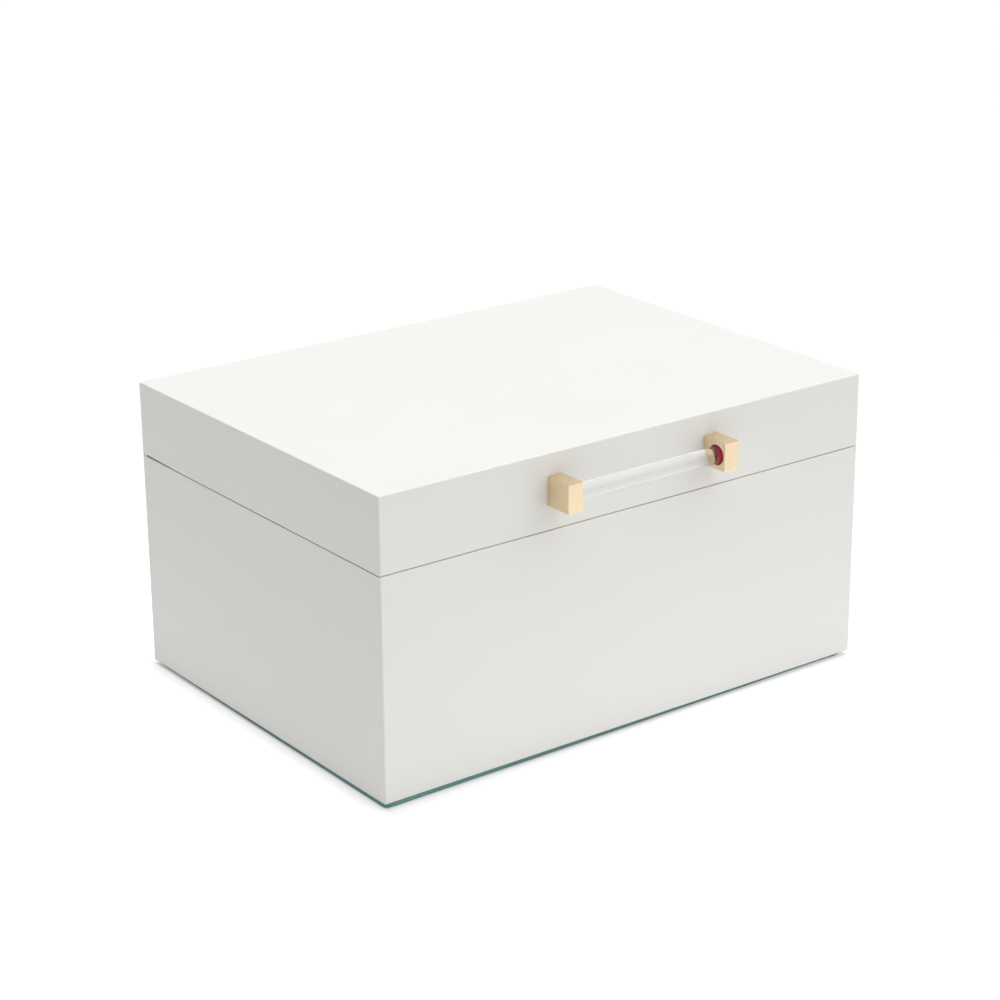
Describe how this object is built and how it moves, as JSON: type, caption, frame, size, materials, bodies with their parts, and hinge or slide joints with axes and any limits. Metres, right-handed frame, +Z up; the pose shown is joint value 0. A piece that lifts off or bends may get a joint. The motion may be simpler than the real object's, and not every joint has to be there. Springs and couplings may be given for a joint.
{
  "type": "jewellery box",
  "caption": "Lacquered jewellery box with a hinged lid, a clear bar handle on metal posts, a mirror in the lid and a lift-out velvet tray.",
  "frame": {"origin": "centre of the felt face that the box rests on", "axes": "+Z up; +X to the right along the width; the front with the handle faces -Y and the hinges are at the back, +Y"},
  "size_m": [0.296, 0.2331, 0.1549],
  "materials": {
    "lacquer": "satin white lacquer on fibreboard",
    "velvet": "short-pile velvet on board",
    "felt": "pressed felt",
    "rose_gold": "polished rose-gold plate",
    "acrylic": "clear polished acrylic",
    "crimson_rubber": "smooth moulded rubber",
    "clear_rubber": "clear soft bumper dots",
    "mirror_glass": "silvered glass"
  },
  "bodies": {
    "base": {"base_felt": "felt", "base_floor_panel": "lacquer", "base_front_panel": "lacquer", "base_back_panel": "lacquer", "base_left_panel": "lacquer", "base_right_panel": "lacquer", "well_floor_lining": "velvet", "well_lining_front": "velvet", "well_lining_back": "velvet", "well_lining_left": "velvet", "well_lining_right": "velvet", "tray_rest_left": "velvet", "tray_rest_right": "velvet", "well_divider_long": "velvet", "well_divider_left": "velvet", "well_divider_right": "velvet", "rim_bumpers": "clear_rubber", "hinge_leaf_base_left": "rose_gold", "hinge_leaf_base_right": "rose_gold", "hinge_pin_left": "rose_gold", "hinge_pin_right": "rose_gold", "hinge_screws_base": "rose_gold"},
    "lid": {"lid_top_panel": "lacquer", "lid_front_rail": "lacquer", "lid_back_rail": "lacquer", "lid_left_rail": "lacquer", "lid_right_rail": "lacquer", "lid_lining_front": "velvet", "lid_lining_back": "velvet", "lid_lining_left": "velvet", "lid_lining_right": "velvet", "mirror_frame": "velvet", "lid_mirror": "mirror_glass", "hinge_leaf_lid_left": "rose_gold", "hinge_leaf_lid_right": "rose_gold", "hinge_screws_lid": "rose_gold", "handle_post_left": "rose_gold", "handle_post_right": "rose_gold", "handle_bar": "acrylic", "bar_grommets": "crimson_rubber", "handle_screws": "rose_gold"},
    "stay_left": {"lid_stay_left": "rose_gold"},
    "stay_right": {"lid_stay_right": "rose_gold"},
    "tray": {"tray_bottom": "velvet", "tray_wall_front": "velvet", "tray_wall_back": "velvet", "tray_wall_left": "velvet", "tray_wall_right": "velvet", "tray_floor_lining": "velvet", "tray_divider_left": "velvet", "tray_divider_right": "velvet", "tray_divider_cross": "velvet", "tray_divider_short": "velvet", "ring_roll_1": "velvet", "ring_roll_2": "velvet", "ring_roll_3": "velvet", "ring_roll_4": "velvet", "ring_roll_5": "velvet", "ring_roll_6": "velvet", "ring_roll_7": "velvet"}
  },
  "joints": [
    {"name": "lid_hinge", "type": "hinge", "parent": "base", "child": "lid", "pos_m": [0, 0.1075, 0.1163], "axis": [-1, 0, 0], "range_deg": [0, 95]},
    {"name": "stay_left_pivot", "type": "hinge", "parent": "base", "child": "stay_left", "pos_m": [0, 0.1075, 0.1163], "axis": [-1, 0, 0], "range_deg": [0, 47.5]},
    {"name": "stay_right_pivot", "type": "hinge", "parent": "base", "child": "stay_right", "pos_m": [0, 0.1075, 0.1163], "axis": [-1, 0, 0], "range_deg": [0, 47.5]},
    {"name": "tray_lift", "type": "slide", "parent": "base", "child": "tray", "axis": [0, 0, 1], "range_m": [0, 0.03]}
  ],
  "couplings": [
    {"joint": "stay_left_pivot", "follows": "lid_hinge", "ratio": 0.5},
    {"joint": "stay_right_pivot", "follows": "lid_hinge", "ratio": 0.5}
  ]
}
